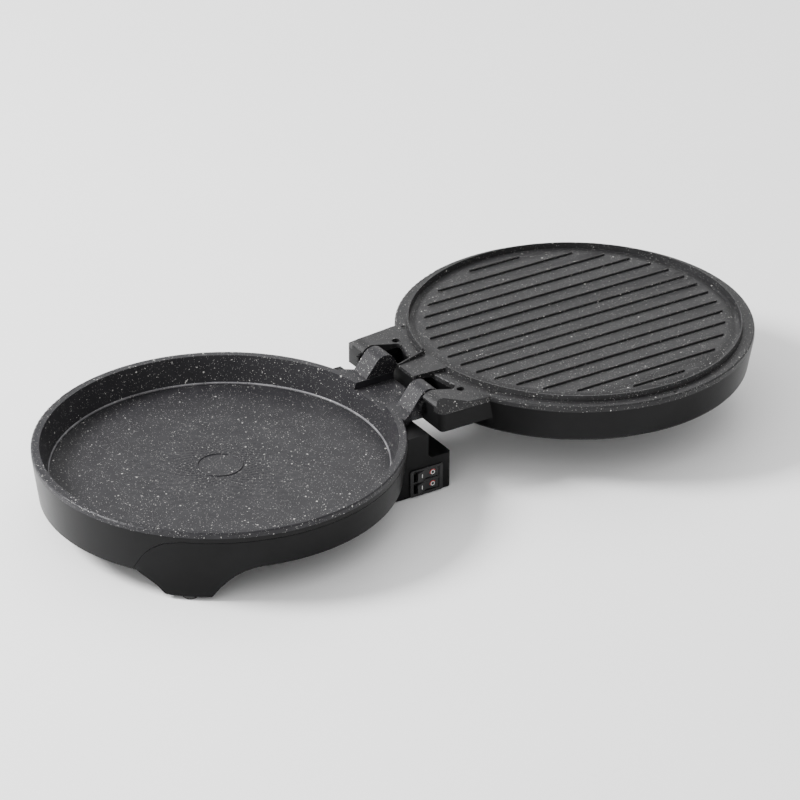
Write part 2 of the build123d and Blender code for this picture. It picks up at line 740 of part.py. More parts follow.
# Lid housing: a tapered wall with a flat outer ring and a hollow ear each side of the hinge
lid_shell_top = lid_z - lip_height
with BuildPart() as upper_shell:
    with BuildSketch(upper_side):
        with BuildLine():
            Polyline((cover_radius, lid_shell_low), (155.5, lid_shell_low))
            RadiusArc((155.5, lid_shell_low), (160.4, lid_shell_low + 4.6), -5)
            Polyline(
                (160.4, lid_shell_low + 4.6), (pan_radius, lid_shell_top),
                (pan_radius - lid_wall, lid_shell_top), (158, lid_shell_low + 5),
                (154.6, lid_shell_low + lid_wall), (cover_radius, lid_shell_low + lid_wall),
                (cover_radius, lid_shell_low),
            )
        make_face()
    revolve(axis=upper_axis)
    for side in (-1, 1):
        with BuildPart(mode=Mode.PRIVATE) as ear:
            with BuildSketch(level(ear_floor)):
                add(ear_plan(side))
            extrude(amount=lid_shell_top - ear_floor)
            with BuildSketch(across.offset(side * 60)):
                with BuildLine():
                    edge_y = -ear_front + ear_edge
                    Polyline((-ear_front, hinge_z + 8), (-ear_front, ear_floor + ear_edge))
                    RadiusArc((-ear_front, ear_floor + ear_edge), (edge_y, ear_floor), -ear_edge)
                    Polyline((edge_y, ear_floor), (54, ear_floor), (54, hinge_z + 8),
                             (-ear_front, hinge_z + 8))
                make_face()
            extrude(amount=30, both=True, mode=Mode.INTERSECT)
            with BuildSketch(level(ear_floor + ear_wall)):
                add(ear_plan(side, ear_wall))
            extrude(amount=lid_shell_top, mode=Mode.SUBTRACT)
            with BuildSketch(level(lid_shell_top - 1)):
                Polygon(
                    (side * ear_in, -ear_front), (side * (ear_step - seam), -ear_front),
                    (side * (ear_step - seam), -ear_front + ear_wall), (side * ear_in, -ear_front + ear_wall),
                    align=None,
                )
            extrude(amount=cheek_top - lid_shell_top + 1)
        add(ear.part)
        with BuildSketch(across.offset(side * (ear_in - 1))):
            with Locations((0, hinge_z + 1)):
                SlotCenterToCenter(6, 2 * pin_radius + 2, rotation=90)
        extrude(amount=side * 8, mode=Mode.SUBTRACT)
    # a web behind the hinge joins the ears under the tongue
    with BuildPart(mode=Mode.PRIVATE) as web:
        with BuildSketch(level(web_low, (web_front + web_back) / 2)):
            Rectangle(2 * ear_in + 1, web_back - web_front)
        extrude(amount=web_top - web_low)
        with BuildSketch(level(web_low + ear_wall, (web_front + web_back) / 2 + ear_wall)):
            Rectangle(2 * (ear_in + 0.5 - ear_wall), web_back - web_front)
        extrude(amount=web_top - web_low, mode=Mode.SUBTRACT)
    add(web.part)
    # the ears open into the housing
    with BuildSketch(upper_side):
        Polygon(
            (0, lid_shell_low + 5), (158, lid_shell_low + 5), (pan_radius - lid_wall, lid_shell_top),
            (0, lid_shell_top), align=None,
        )
    revolve(axis=upper_axis, mode=Mode.SUBTRACT)
    with BuildSketch(level(lid_shell_low - 1, pan_offset)):
        with PolarLocations(lid_boss_ring, 4, start_angle=45):
            Circle(screw_radius + fit_gap)
    extrude(amount=6, mode=Mode.SUBTRACT)
    with BuildSketch(level(lid_shell_low - 1, pan_offset)):
        with PolarLocations(lid_boss_ring, 4, start_angle=45):
            Circle(head_radius + 0.3)
    extrude(amount=1 + sink_depth, mode=Mode.SUBTRACT)
save(upper_shell, "upper_shell")

# Round cover in the middle of the lid's outer face
with BuildPart() as upper_cover:
    with BuildSketch(upper_side):
        Polygon(
            (0, lid_shell_low + lid_wall), (cover_radius - 0.3, lid_shell_low + lid_wall),
            (cover_radius - 0.3, lid_shell_low + 0.4), (cover_radius - 8, lid_shell_low - 2.2),
            (0, lid_shell_low - 2.2), align=None,
        )
    revolve(axis=upper_axis)
save(upper_cover, "upper_cover")

heater("upper_heating_element", upper_element_z, pan_offset, -1)
heat_shield("upper_heat_shield", upper_side, lid_shell_low + 14, pan_offset, 1)
thermostat("upper_thermostat", lid_under_z - 0.1, pan_offset, -1)
element_clamps("upper_element_clamps", lid_under_z - 0.05, pan_offset, -1)
lid_screw_spots = ring_spots(lid_boss_ring, 4, 45, pan_offset)
screws("upper_shell_screws", lid_screw_spots, lid_shell_low + sink_depth, 14, head=1.1)
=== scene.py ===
from math import cos, hypot, pi, radians, sin

import bmesh
import bpy
from mathutils import Matrix, Vector
from mathutils.bvhtree import BVHTree


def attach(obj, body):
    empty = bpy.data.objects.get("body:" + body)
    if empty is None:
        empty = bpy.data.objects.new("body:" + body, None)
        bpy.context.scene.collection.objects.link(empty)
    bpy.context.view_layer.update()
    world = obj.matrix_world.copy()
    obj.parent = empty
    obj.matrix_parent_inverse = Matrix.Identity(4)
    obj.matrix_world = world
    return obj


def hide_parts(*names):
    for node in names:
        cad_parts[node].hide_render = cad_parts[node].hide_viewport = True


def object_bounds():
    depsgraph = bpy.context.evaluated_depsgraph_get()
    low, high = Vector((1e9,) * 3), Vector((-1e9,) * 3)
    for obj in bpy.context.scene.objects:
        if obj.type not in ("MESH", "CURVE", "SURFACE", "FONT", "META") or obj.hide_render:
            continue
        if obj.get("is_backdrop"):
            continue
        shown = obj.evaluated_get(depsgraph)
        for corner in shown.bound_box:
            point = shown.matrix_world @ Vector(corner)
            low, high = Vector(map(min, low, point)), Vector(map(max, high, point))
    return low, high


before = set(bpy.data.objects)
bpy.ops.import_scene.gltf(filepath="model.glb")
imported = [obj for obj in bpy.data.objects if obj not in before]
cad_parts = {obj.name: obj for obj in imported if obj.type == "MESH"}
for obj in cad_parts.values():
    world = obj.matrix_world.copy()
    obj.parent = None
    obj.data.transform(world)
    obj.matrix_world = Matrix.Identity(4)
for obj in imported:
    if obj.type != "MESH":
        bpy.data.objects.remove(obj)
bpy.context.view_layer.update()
print("frame loaded:", len(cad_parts), "nodes")

mm = 0.001

# places shared by several pieces, all from the frame
panCentre = Vector((0, -0.1875, 0))
lidCentre = Vector((0, 0.1875, 0))
lidZ = 82.8 * mm
sides = {-1: "Left", 1: "Right"}


def linkNew(name, data):
    thing = bpy.data.objects.new(name, data)
    bpy.context.scene.collection.objects.link(thing)
    return thing


def placeNode(tree, kind, values=None, **settings):
    # each input takes a link from another node or a plain value
    node = tree.nodes.new(kind)
    for label, value in settings.items():
        setattr(node, label, value)
    for label, value in (values or {}).items():
        if hasattr(value, "links"):
            tree.links.new(value, node.inputs[label])
        else:
            node.inputs[label].default_value = value
    return node


def mathNode(tree, operation, *values, clamp=False):
    node = placeNode(
        tree, "ShaderNodeMath", dict(enumerate(values)), operation=operation, use_clamp=clamp)
    return node.outputs[0]


# shader helpers and the two groups that the materials share
def newGroup(name, values, outputs):
    group = bpy.data.node_groups.new(name, "ShaderNodeTree")
    group.interface.new_socket(name="Vector", in_out="INPUT", socket_type="NodeSocketVector")
    for label, value in values.items():
        socket = group.interface.new_socket(
            name=label, in_out="INPUT", socket_type="NodeSocketFloat")
        socket.default_value = value
    for label in outputs:
        group.interface.new_socket(name=label, in_out="OUTPUT", socket_type="NodeSocketFloat")
    start = group.nodes.new("NodeGroupInput")
    end = group.nodes.new("NodeGroupOutput")
    return group, start.outputs, end.inputs


def mixColour(tree, factor, first, second):
    # sockets 0, 6 and 7 are the factor and the two colours, and output 2 is the colour
    values = {0: factor, 6: first, 7: second}
    return placeNode(tree, "ShaderNodeMix", values, data_type="RGBA").outputs[2]


def noise(tree, vector, scale, detail=2):
    values = {"Vector": vector, "Scale": scale, "Detail": detail}
    return placeNode(tree, "ShaderNodeTexNoise", values).outputs["Fac"]


def ramp(tree, value, low, high):
    # 0 below low, 1 above high, smooth between
    values = {"Value": value, "From Min": low, "From Max": high}
    node = placeNode(tree, "ShaderNodeMapRange", values, interpolation_type="SMOOTHSTEP")
    return node.outputs["Result"]


fleck = {"wobbleRatio": 2.2, "wobbleDetail": 3, "push": 5.0, "leastSize": 0.35, "sharpness": 14.0}


def makeFleckGroup():
    # one size of irregular fleck: a mask of spots, some of them missing
    group, given, end = newGroup(
        "coatingFlecks", {"Scale": 300.0, "Size": 0.3, "Share": 0.4, "Ragged": 0.12}, ["Mask"])
    wobbleScale = mathNode(group, "MULTIPLY", given["Scale"], fleck["wobbleRatio"])
    wobble = noise(group, given["Vector"], wobbleScale, fleck["wobbleDetail"])
    cells = placeNode(group, "ShaderNodeTexVoronoi", {
        "Vector": given["Vector"], "Scale": given["Scale"], "Randomness": 1.0}, feature="F1")
    split = placeNode(group, "ShaderNodeSeparateColor", {"Color": cells.outputs["Color"]})
    push = mathNode(group, "SUBTRACT", wobble, 0.5)
    push = mathNode(group, "MULTIPLY", push, given["Ragged"])
    push = mathNode(group, "MULTIPLY", push, fleck["push"])
    reach = mathNode(group, "ADD", cells.outputs["Distance"], push)
    sizeShare = mathNode(group, "ADD", split.outputs["Green"], fleck["leastSize"])
    size = mathNode(group, "MULTIPLY", given["Size"], sizeShare)
    inside = mathNode(group, "SUBTRACT", size, reach)
    edge = mathNode(group, "MULTIPLY", inside, fleck["sharpness"], clamp=True)
    present = mathNode(group, "LESS_THAN", split.outputs["Red"], given["Share"])
    group.links.new(mathNode(group, "MULTIPLY", edge, present), end["Mask"])
    return group


grainDetail = {"Height": ("Grain Scale", 3), "Cloud": ("Cloud Scale", 4)}


def makeGrainGroup():
    # fine moulded or cast grain: a height and a slow unevenness
    group, given, end = newGroup(
        "surfaceGrain", {"Grain Scale": 1800.0, "Cloud Scale": 30.0}, ["Height", "Cloud"])
    for output, (scale, detail) in grainDetail.items():
        group.links.new(noise(group, given["Vector"], given[scale], detail), end[output])
    return group


def placeGroup(tree, group, values, vector):
    return placeNode(tree, "ShaderNodeGroup", {**values, "Vector": vector}, node_tree=group)


fleckGroup = makeFleckGroup()
grainGroup = makeGrainGroup()


def newMaterial(name, roughness, metallic=0.0, specular=0.5):
    material = bpy.data.materials.new(name)
    material.use_nodes = True
    tree = material.node_tree
    shader = tree.nodes["Principled BSDF"]
    shader.inputs["Roughness"].default_value = roughness
    shader.inputs["Metallic"].default_value = metallic
    shader.inputs["Specular IOR Level"].default_value = specular
    coords = tree.nodes.new("ShaderNodeTexCoord")
    return material, tree, shader, coords.outputs["Object"]


def bumpInto(tree, shader, height, strength, distance):
    values = {"Strength": strength, "Distance": distance, "Height": height}
    bump = placeNode(tree, "ShaderNodeBump", values)
    tree.links.new(bump.outputs["Normal"], shader.inputs["Normal"])


stone = {
    "base": (0.017, 0.0165, 0.0185, 1), "cloudTone": (0.013, 0.0125, 0.0145, 1),
    "pale": (0.52, 0.51, 0.49, 1), "dark": (0.006, 0.006, 0.007, 1),
    "roughness": 0.38, "specular": 0.20, "bump": 0.30, "bumpDistance": 0.0002,
    "grainScale": 1500.0, "cloudScale": 45.0, "cloudRange": (0.35, 0.65),
    # scale per metre, size, share, raggedness and strength of each layer of flecks
    "large": (250.0, 0.17, 0.17, 0.13, 0.85), "middle": (500.0, 0.21, 0.24, 0.13, 0.7),
    "fine": (1050.0, 0.28, 0.28, 0.10, 0.45), "soot": (620.0, 0.30, 0.30, 0.10, 0.85),
    "fleckShine": 0.1, "fleckHeight": 0.6, "unevenness": 0.08,
}


def stoneMaterial(name, values):
    material, tree, shader, coords = newMaterial(
        name, values["roughness"], specular=values["specular"])
    scales = {"Grain Scale": values["grainScale"], "Cloud Scale": values["cloudScale"]}
    grain = placeGroup(tree, grainGroup, scales, coords).outputs
    shade = ramp(tree, grain["Cloud"], *values["cloudRange"])
    colour = mixColour(tree, shade, values["base"], values["cloudTone"])
    paleFlecks = None
    for layer in ("soot", "fine", "middle", "large"):
        scale, size, share, ragged, strength = values[layer]
        mask = placeGroup(tree, fleckGroup, {
            "Scale": scale, "Size": size, "Share": share, "Ragged": ragged}, coords).outputs["Mask"]
        tone = values["dark"] if layer == "soot" else values["pale"]
        colour = mixColour(tree, mathNode(tree, "MULTIPLY", mask, strength), colour, tone)
        if layer == "soot":
            continue
        paleFlecks = mathNode(tree, "MAXIMUM", paleFlecks, mask) if paleFlecks else mask
    tree.links.new(colour, shader.inputs["Base Color"])
    # pale flecks are a little glossier than the ground, and stand a little higher
    shine = mathNode(tree, "MULTIPLY", paleFlecks, values["fleckShine"])
    shine = mathNode(tree, "SUBTRACT", values["roughness"], shine)
    uneven = mathNode(tree, "MULTIPLY", grain["Cloud"], values["unevenness"])
    tree.links.new(mathNode(tree, "ADD", shine, uneven), shader.inputs["Roughness"])
    raised = mathNode(tree, "MULTIPLY", paleFlecks, values["fleckHeight"])
    height = mathNode(tree, "ADD", grain["Height"], raised)
    bumpInto(tree, shader, height, values["bump"], values["bumpDistance"])
    return material


plastic = {
    "cloudScale": 25.0, "cloudRange": (0.3, 0.7), "unevenness": 0.12, "bumpDistance": 0.0001,
}


def plasticMaterial(name, tone, cloudTone, roughness, grainScale, bump, specular=0.5):
    material, tree, shader, coords = newMaterial(name, roughness, specular=specular)
    scales = {"Grain Scale": grainScale, "Cloud Scale": plastic["cloudScale"]}
    grain = placeGroup(tree, grainGroup, scales, coords).outputs
    shade = ramp(tree, grain["Cloud"], *plastic["cloudRange"])
    tree.links.new(mixColour(tree, shade, tone, cloudTone), shader.inputs["Base Color"])
    uneven = mathNode(tree, "MULTIPLY", grain["Cloud"], plastic["unevenness"])
    uneven = mathNode(tree, "ADD", uneven, roughness - plastic["unevenness"] / 2)
    tree.links.new(uneven, shader.inputs["Roughness"])
    bumpInto(tree, shader, grain["Height"], bump, plastic["bumpDistance"])
    return material


metal = {
    "cloudScale": 80.0, "cloudRange": (0.35, 0.7), "unevenness": 0.2, "bump": 0.15,
    "bumpDistance": 0.0001,
}


def metalMaterial(name, tone, stain, roughness, grainScale):
    material, tree, shader, coords = newMaterial(name, roughness, metallic=1.0)
    scales = {"Grain Scale": grainScale, "Cloud Scale": metal["cloudScale"]}
    grain = placeGroup(tree, grainGroup, scales, coords).outputs
    shade = ramp(tree, grain["Cloud"], *metal["cloudRange"])
    tree.links.new(mixColour(tree, shade, tone, stain), shader.inputs["Base Color"])
    uneven = mathNode(tree, "MULTIPLY", grain["Height"], metal["unevenness"])
    uneven = mathNode(tree, "ADD", uneven, roughness - metal["unevenness"] / 2)
    tree.links.new(uneven, shader.inputs["Roughness"])
    bumpInto(tree, shader, grain["Height"], metal["bump"], metal["bumpDistance"])
    return material


stoneLower = stoneMaterial("stoneCoatingLower", stone)
stoneLid = stoneMaterial("stoneCoatingLid", {
    **stone, "base": (0.017, 0.0168, 0.0175, 1), "cloudTone": (0.014, 0.0138, 0.0145, 1),
    "large": (270.0, 0.15, 0.11, 0.13, 0.85), "middle": (540.0, 0.19, 0.18, 0.13, 0.7),
    "fine": (1100.0, 0.27, 0.26, 0.10, 0.45),
})
# a much paler copy of the coating: its pale base is a painted highlight along the edge where the pan
# wall meets the floor
stoneHighlightEdge = stoneMaterial("stoneCoatingPaintedHighlight", {
    **stone, "base": (0.15, 0.148, 0.155, 1), "cloudTone": (0.09, 0.088, 0.094, 1),
    "roughness": 0.3,
})
housingPlastic = plasticMaterial(
    "housingPlastic", (0.0045, 0.0045, 0.0047, 1), (0.006, 0.006, 0.0063, 1),
    roughness=0.33, grainScale=2600.0, bump=0.20, specular=0.09)
trimPlastic = plasticMaterial(
    "trimPlastic", (0.005, 0.005, 0.0052, 1), (0.0065, 0.0065, 0.0068, 1),
    roughness=0.31, grainScale=2600.0, bump=0.12, specular=0.10)
switchPlastic = plasticMaterial(
    "switchPlastic", (0.010, 0.010, 0.0105, 1), (0.013, 0.013, 0.0135, 1),
    roughness=0.27, grainScale=3000.0, bump=0.06, specular=0.35)
padRubber = plasticMaterial(
    "padRubber", (0.018, 0.018, 0.018, 1), (0.03, 0.03, 0.03, 1),
    roughness=0.75, grainScale=1500.0, bump=0.4)
innerPlastic = plasticMaterial(
    "innerPlastic", (0.30, 0.29, 0.26, 1), (0.24, 0.23, 0.21, 1),
    roughness=0.55, grainScale=1500.0, bump=0.3)
whiteInk = plasticMaterial(
    "whiteInk", (0.75, 0.75, 0.74, 1), (0.62, 0.62, 0.61, 1),
    roughness=0.45, grainScale=2500.0, bump=0.1)
redInk = plasticMaterial(
    "redInk", (0.55, 0.03, 0.025, 1), (0.42, 0.02, 0.02, 1),
    roughness=0.40, grainScale=2500.0, bump=0.1)
screwSteel = metalMaterial(
    "screwSteel", (0.42, 0.42, 0.43, 1), (0.30, 0.30, 0.31, 1), roughness=0.34, grainScale=900.0)
sheetSteel = metalMaterial(
    "sheetSteel", (0.60, 0.60, 0.60, 1), (0.46, 0.45, 0.43, 1), roughness=0.38, grainScale=500.0)
heaterSteel = metalMaterial(
    "heaterSteel", (0.09, 0.085, 0.08, 1), (0.14, 0.11, 0.09, 1), roughness=0.55, grainScale=700.0)
bushBrass = metalMaterial(
    "bushBrass", (0.62, 0.45, 0.20, 1), (0.45, 0.31, 0.14, 1), roughness=0.35, grainScale=700.0)
print("materials made")


# pieces carried over from the frame, merged and with their edges rounded; angles in degrees
edges = {"mergeGap": 2e-6, "flatAngle": 0.25, "sharpAngle": 32}


def mergedCopy(node, name, reshape=None):
    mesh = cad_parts[node].data.copy()
    mesh.name = name
    mesh.materials.clear()
    work = bmesh.new()
    work.from_mesh(mesh)
    bmesh.ops.remove_doubles(work, verts=work.verts, dist=edges["mergeGap"])
    if reshape:
        reshape(work)
    bmesh.ops.dissolve_limit(
        work, angle_limit=radians(edges["flatAngle"]), verts=work.verts, edges=work.edges)
    sharpAngle = radians(edges["sharpAngle"])
    for face in work.faces:
        face.smooth = True
    for edge in work.edges:
        edge.smooth = not (edge.is_manifold and edge.calc_face_angle(0) > sharpAngle)
    work.to_mesh(mesh)
    work.free()
    return linkNew(name, mesh)


def roundEdges(piece, width, angle=edges["sharpAngle"], segments=2):
    bevel = piece.modifiers.new("edgeRound", "BEVEL")
    bevel.width = width
    bevel.segments = segments
    bevel.limit_method = "ANGLE"
    bevel.angle_limit = radians(angle)
    bevel.use_clamp_overlap = True
    bevel.harden_normals = True
    bevel.miter_outer = "MITER_ARC"


def dressNode(node, name, body, slot, material, width, segments):
    piece = mergedCopy(node, name, reshapes.get(node))
    piece.data.materials.append(material)
    roundEdges(piece, width, segments=segments)
    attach(piece, body)
    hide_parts(node)


ribPress = {"floor": 1.5 * mm, "above": 1 * mm, "circle": 0.1385, "sunk": 0.06 * mm}


def sinkRibs(work):
    # the ribs are made again below, so the plate's own are pressed flat
    top = lidZ + ribPress["floor"]
    for vert in work.verts:
        inCircle = hypot(vert.co.x, vert.co.y - lidCentre.y) < ribPress["circle"]
        if vert.co.z > top + ribPress["above"] and inCircle:
            vert.co.z = top - ribPress["sunk"]


reshapes = {"upper_cooking_plate": sinkRibs}
# node: name, body, slot, material, width of the rounded edge in metres, steps across it
dressed = {
    "lower_cooking_plate": ("lowerPlate", "lower", "stone_coating", stoneLower, 0.0006, 3),
    "upper_cooking_plate": ("lidPlate", "lid", "stone_coating", stoneLid, 0.0006, 3),
    "lower_shell": ("lowerHousing", "lower", "black_housing", housingPlastic, 0.0005, 2),
    "front_trim_band": ("frontTrimBand", "lower", "black_housing", trimPlastic, 0.00025, 2),
    "base_cover": ("baseCover", "lower", "black_housing", housingPlastic, 0.0004, 2),
    "upper_shell": ("lidHousing", "lid", "black_housing", housingPlastic, 0.0006, 2),
    "upper_cover": ("lidCover", "lid", "black_housing", housingPlastic, 0.0006, 2),
    "switch_bezel": ("switchBezel", "lower", "black_gloss", switchPlastic, 0.0003, 2),
    "upper_plate_rocker": (
        "upperRocker", "upper_rocker", "black_gloss", switchPlastic, 0.0003, 2),
    "lower_plate_rocker": (
        "lowerRocker", "lower_rocker", "black_gloss", switchPlastic, 0.0003, 2),
    "rubber_feet": ("rubberFeet", "lower", "foot_rubber", padRubber, 0.0006, 2),
    "cable_gland": ("cableGland", "lower", "foot_rubber", padRubber, 0.0003, 2),
}
for node, values in dressed.items():
    dressNode(node, *values)
print("housings and plates dressed:", len(dressed))

kept = {
    "lower_plate_screws": screwSteel, "base_cover_screws": screwSteel,
    "upper_shell_screws": screwSteel, "hinge_pin_left": screwSteel, "hinge_pin_right": screwSteel,
    "hinge_bush_left": bushBrass, "hinge_bush_right": bushBrass,
    "lower_heat_shield": sheetSteel, "upper_heat_shield": sheetSteel,
    "lower_element_clamps": sheetSteel, "upper_element_clamps": sheetSteel,
    "lower_thermostat": sheetSteel, "upper_thermostat": sheetSteel,
    "lower_heating_element": heaterSteel, "upper_heating_element": heaterSteel,
    "terminal_block": innerPlastic, "switch_body": innerPlastic,
}
for node, material in kept.items():
    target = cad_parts[node]
    for materialSlot in target.material_slots:
        materialSlot.material = material
    if not target.material_slots:
        target.data.materials.append(material)
print("inner pieces finished:", len(kept))


# geometry-node trees: built, baked to a mesh, then given their body
def placePiece(piece, body):
    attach(piece, body)


def newTree(name, inputs):
    tree = bpy.data.node_groups.new(name, "GeometryNodeTree")
    tree.interface.new_socket(
        name="Geometry", in_out="OUTPUT", socket_type="NodeSocketGeometry")
    tree.interface.new_socket(name="Geometry", in_out="INPUT", socket_type="NodeSocketGeometry")
    for label, kind in inputs.items():
        tree.interface.new_socket(name=label, in_out="INPUT", socket_type="NodeSocket" + kind)
    start = tree.nodes.new("NodeGroupInput")
    end = tree.nodes.new("NodeGroupOutput")
    return tree, start.outputs, end.inputs


def endTree(tree, end, geometry, material):
    solid = placeNode(tree, "GeometryNodeRealizeInstances", {"Geometry": geometry})
    painted = placeNode(tree, "GeometryNodeSetMaterial", {
        "Geometry": solid.outputs[0], "Material": material})
    tree.links.new(painted.outputs[0], end["Geometry"])


def bakeTree(tree, name, values, body, seed=None):
    holder = linkNew(name + "Holder", seed or bpy.data.meshes.new(name + "Seed"))
    modifier = holder.modifiers.new("pattern", "NODES")
    modifier.node_group = tree
    for item in tree.interface.items_tree:
        if item.in_out == "INPUT" and item.name in values:
            modifier[item.identifier] = values[item.name]
    depsgraph = bpy.context.evaluated_depsgraph_get()
    mesh = bpy.data.meshes.new_from_object(holder.evaluated_get(depsgraph), depsgraph=depsgraph)
    holder.modifiers.clear()
    bpy.data.objects.remove(holder)
    mesh.name = name
    for polygon in mesh.polygons:
        polygon.use_smooth = True
    placePiece(linkNew(name, mesh), body)


# grill ribs of the lid plate: round-topped bars cut to a circle
ribs = {
    "Count": 15, "Pitch": 19.2 * mm, "Circle": 137.1 * mm, "Radius": 1.0 * mm,
    "Centre": (0, lidCentre.y, lidZ + 2.3 * mm), "roundSteps": 20, "capRings": 12,
}


def makeRibTree():
    tree, given, end = newTree("grillRibs", {
        "Count": "Int", "Pitch": "Float", "Circle": "Float", "Radius": "Float",
        "Centre": "Vector"})
    index = placeNode(tree, "GeometryNodeInputIndex").outputs[0]
    middleIndex = mathNode(tree, "SUBTRACT", given["Count"], 1.0)
    middleIndex = mathNode(tree, "MULTIPLY", middleIndex, 0.5)
    across = mathNode(tree, "SUBTRACT", index, middleIndex)
    across = mathNode(tree, "MULTIPLY", across, given["Pitch"])
    circleSquared = mathNode(tree, "POWER", given["Circle"], 2.0)
    acrossSquared = mathNode(tree, "POWER", across, 2.0)
    halfLength = mathNode(tree, "SQRT", mathNode(tree, "SUBTRACT", circleSquared, acrossSquared))
    offset = placeNode(tree, "ShaderNodeCombineXYZ", {"X": across})
    spot = placeNode(tree, "ShaderNodeVectorMath", {
        0: offset.outputs[0], 1: given["Centre"]}, operation="ADD")
    spots = placeNode(tree, "GeometryNodePoints", {
        "Count": given["Count"], "Position": spot.outputs[0]})
    line = placeNode(tree, "GeometryNodeCurvePrimitiveLine", {
        "Start": (0, -1, 0), "End": (0, 1, 0)})
    stretch = placeNode(tree, "ShaderNodeCombineXYZ", {"X": 1.0, "Y": halfLength, "Z": 1.0})
    bars = placeNode(tree, "GeometryNodeInstanceOnPoints", {
        "Points": spots.outputs[0], "Instance": line.outputs[0], "Scale": stretch.outputs[0]})
    barLines = placeNode(tree, "GeometryNodeRealizeInstances", {"Geometry": bars.outputs[0]})
    section = placeNode(tree, "GeometryNodeCurvePrimitiveCircle", {
        "Resolution": ribs["roundSteps"], "Radius": given["Radius"]})
    tubes = placeNode(tree, "GeometryNodeCurveToMesh", {
        "Curve": barLines.outputs[0], "Profile Curve": section.outputs[0], "Fill Caps": False})
    tips = placeNode(tree, "GeometryNodeCurveToPoints", {
        "Curve": barLines.outputs[0], "Count": 2}, mode="COUNT")
    ball = placeNode(tree, "GeometryNodeMeshUVSphere", {
        "Segments": ribs["roundSteps"], "Rings": ribs["capRings"], "Radius": given["Radius"]})
    caps = placeNode(tree, "GeometryNodeInstanceOnPoints", {
        "Points": tips.outputs[0], "Instance": ball.outputs[0]})
    joined = placeNode(tree, "GeometryNodeJoinGeometry")
    tree.links.new(tubes.outputs[0], joined.inputs[0])
    tree.links.new(caps.outputs[0], joined.inputs[0])
    endTree(tree, end, joined.outputs[0], stoneLid)
    return tree


bakeTree(makeRibTree(), "grillRibs", ribs, "lid")
print("grill ribs made")

# dimpled field round the middle of the pan floor
dimples = {
    "Rings": 100, "Segments": 504, "Step": 0.8 * mm, "Inner": 21.4 * mm, "Around": 36.0,
    "Depth": 0.50 * mm, "Fade": 100.0 * mm, "Centre": (0, panCentre.y, 43.5 * mm),
    # ring spacing against the spacing around, lowest value of the pattern, radius of full
    # relief in times Inner, height of the crests in depths, and how far the field is sunk
    "ringRate": 0.9, "bowlFloor": -0.15, "fullBy": 1.12, "crest": 1.05, "sunk": -0.00003,
    "logBase": 2.718282,
}


def dimpleField():
    mesh = bpy.data.meshes.new("dimpledField")
    work = bmesh.new()
    rows = []
    for ring in range(dimples["Rings"] + 1):
        radius = dimples["Inner"] + ring * dimples["Step"]
        row = []
        for step in range(dimples["Segments"]):
            angle = 2 * pi * step / dimples["Segments"]
            row.append(work.verts.new((radius * cos(angle), radius * sin(angle), 0)))
        rows.append(row)
    for inner, outer in zip(rows, rows[1:]):
        for i in range(len(inner)):
            j = (i + 1) % len(inner)
            work.faces.new((inner[i], outer[i], outer[j], inner[j]))
    for face in work.faces:
        face.smooth = True
    work.to_mesh(mesh)
    work.free()
    return mesh


def makeDimpleTree():
    tree, given, end = newTree("floorDimples", {
        "Around": "Float", "Inner": "Float", "Fade": "Float", "Depth": "Float",
        "Centre": "Vector"})
    position = placeNode(tree, "GeometryNodeInputPosition").outputs[0]
    axes = placeNode(tree, "ShaderNodeSeparateXYZ", {0: position}).outputs
    radius = placeNode(tree, "ShaderNodeVectorMath", {0: position}, operation="LENGTH")
    radius = radius.outputs["Value"]
    angle = mathNode(tree, "ARCTAN2", axes["Y"], axes["X"])
    around = mathNode(tree, "COSINE", mathNode(tree, "MULTIPLY", angle, given["Around"]))
    # rings stand further apart outwards, in step with the dimples along them
    outward = mathNode(tree, "DIVIDE", radius, given["Inner"])
    outward = mathNode(tree, "LOGARITHM", outward, dimples["logBase"])
    outward = mathNode(tree, "MULTIPLY", outward, given["Around"])
    outward = mathNode(tree, "COSINE", mathNode(tree, "MULTIPLY", outward, dimples["ringRate"]))
    bowl = mathNode(tree, "MULTIPLY", around, outward)
    bowl = mathNode(tree, "MAXIMUM", bowl, dimples["bowlFloor"])
    fadeOut = placeNode(tree, "ShaderNodeMapRange", {
        "Value": radius, "From Min": given["Inner"], "From Max": given["Fade"],
        "To Min": 1.0, "To Max": 0.0})
    fadeIn = placeNode(tree, "ShaderNodeMapRange", {
        "Value": radius, "From Min": given["Inner"],
        "From Max": mathNode(tree, "MULTIPLY", given["Inner"], dimples["fullBy"]),
        "To Min": 0.0, "To Max": 1.0})
    relief = mathNode(tree, "SUBTRACT", dimples["crest"], bowl)
    relief = mathNode(tree, "MULTIPLY", relief, given["Depth"])
    relief = mathNode(tree, "MULTIPLY", relief, fadeOut.outputs[0])
    relief = mathNode(tree, "MULTIPLY", relief, fadeIn.outputs[0])
    lift = placeNode(tree, "ShaderNodeCombineXYZ", {
        "Z": mathNode(tree, "ADD", relief, dimples["sunk"])})
    shift = placeNode(tree, "ShaderNodeVectorMath", {
        0: lift.outputs[0], 1: given["Centre"]}, operation="ADD")
    bent = placeNode(tree, "GeometryNodeSetPosition", {
        "Geometry": given["Geometry"], "Offset": shift.outputs[0]})
    endTree(tree, end, bent.outputs[0], stoneLower)
    return tree


bakeTree(makeDimpleTree(), "floorDimples", dimples, "lower", seed=dimpleField())
print("floor dimples made")


# rings and small fittings, turned round a vertical axis
def linkWork(name, work, material):
    mesh = bpy.data.meshes.new(name)
    work.to_mesh(mesh)
    work.free()
    mesh.materials.append(material)
    return linkNew(name, mesh)


